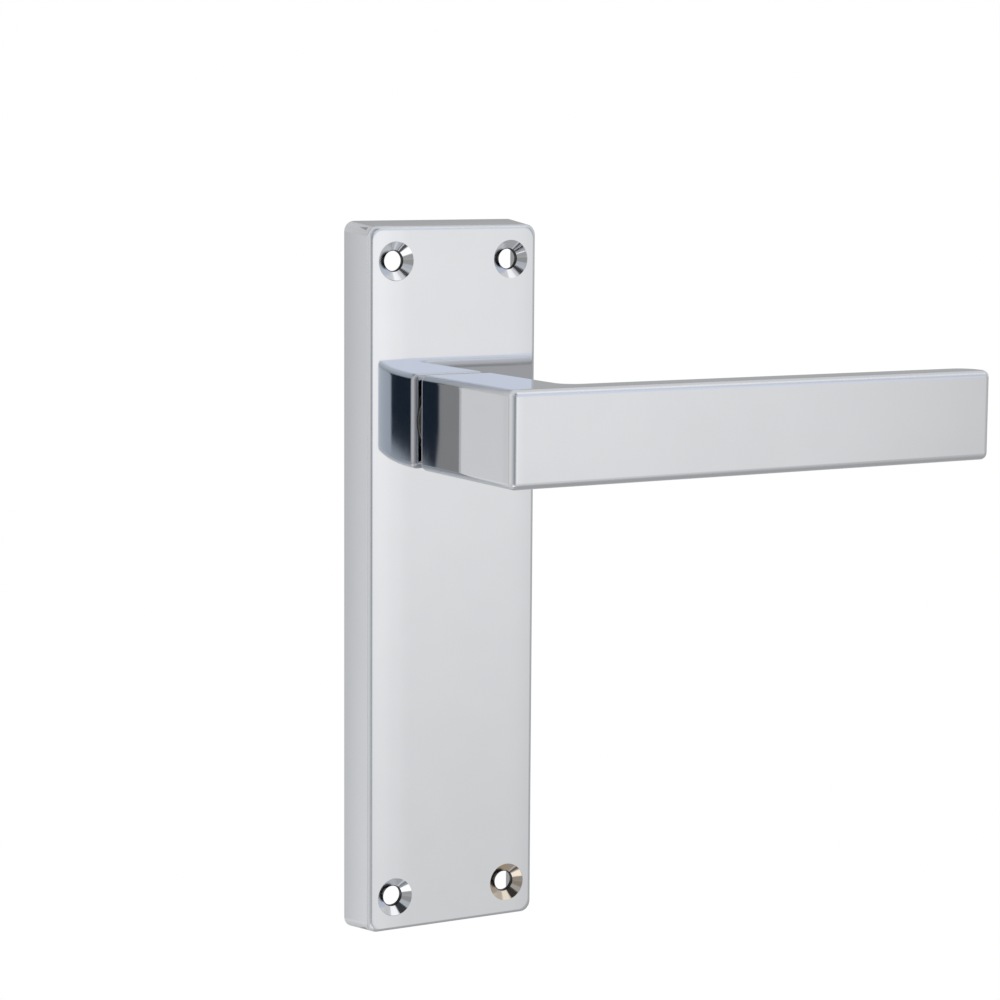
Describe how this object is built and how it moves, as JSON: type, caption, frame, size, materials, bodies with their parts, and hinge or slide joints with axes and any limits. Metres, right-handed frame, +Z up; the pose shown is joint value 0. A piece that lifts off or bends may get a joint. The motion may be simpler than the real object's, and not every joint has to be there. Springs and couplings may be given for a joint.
{
  "type": "door lever handle",
  "caption": "Sprung door lever handle with a straight flat grip on a plain rectangular latch backplate with four countersunk screw holes.",
  "frame": {"origin": "on the spindle axis, in the plane of the door face", "axes": "+X along the grip towards its tip, +Y into the door, +Z up along the backplate"},
  "size_m": [0.1305, 0.05, 0.15],
  "materials": {
    "plate_chrome": "polished chrome plate on zinc casting",
    "lever_chrome": "polished chrome plate on zinc casting",
    "washer_nylon": "black nylon",
    "bush_acetal": "moulded acetal",
    "spring_steel": "drawn spring wire",
    "driver_zinc": "pressed steel, bright zinc plated",
    "disc_steel": "hardened steel, lightly oiled",
    "washer_steel": "stamped steel, passivated",
    "clip_black": "phosphated spring steel"
  },
  "bodies": {
    "plate": {"backplate": "plate_chrome", "front_washer": "washer_nylon", "bearing_bush": "bush_acetal", "return_spring": "spring_steel"},
    "lever": {"lever": "lever_chrome", "spring_driver": "driver_zinc", "disc_spring": "disc_steel", "back_washer": "washer_steel", "circlip": "clip_black"}
  },
  "joints": [
    {"name": "lever_turn", "type": "hinge", "parent": "plate", "child": "lever", "pos_m": [0, 0, 0], "axis": [0, 1, 0], "range_deg": [0, 45], "stiffness_Nm_per_rad": 0.16, "springref_deg": -57.3, "deforming": ["return_spring"]}
  ]
}
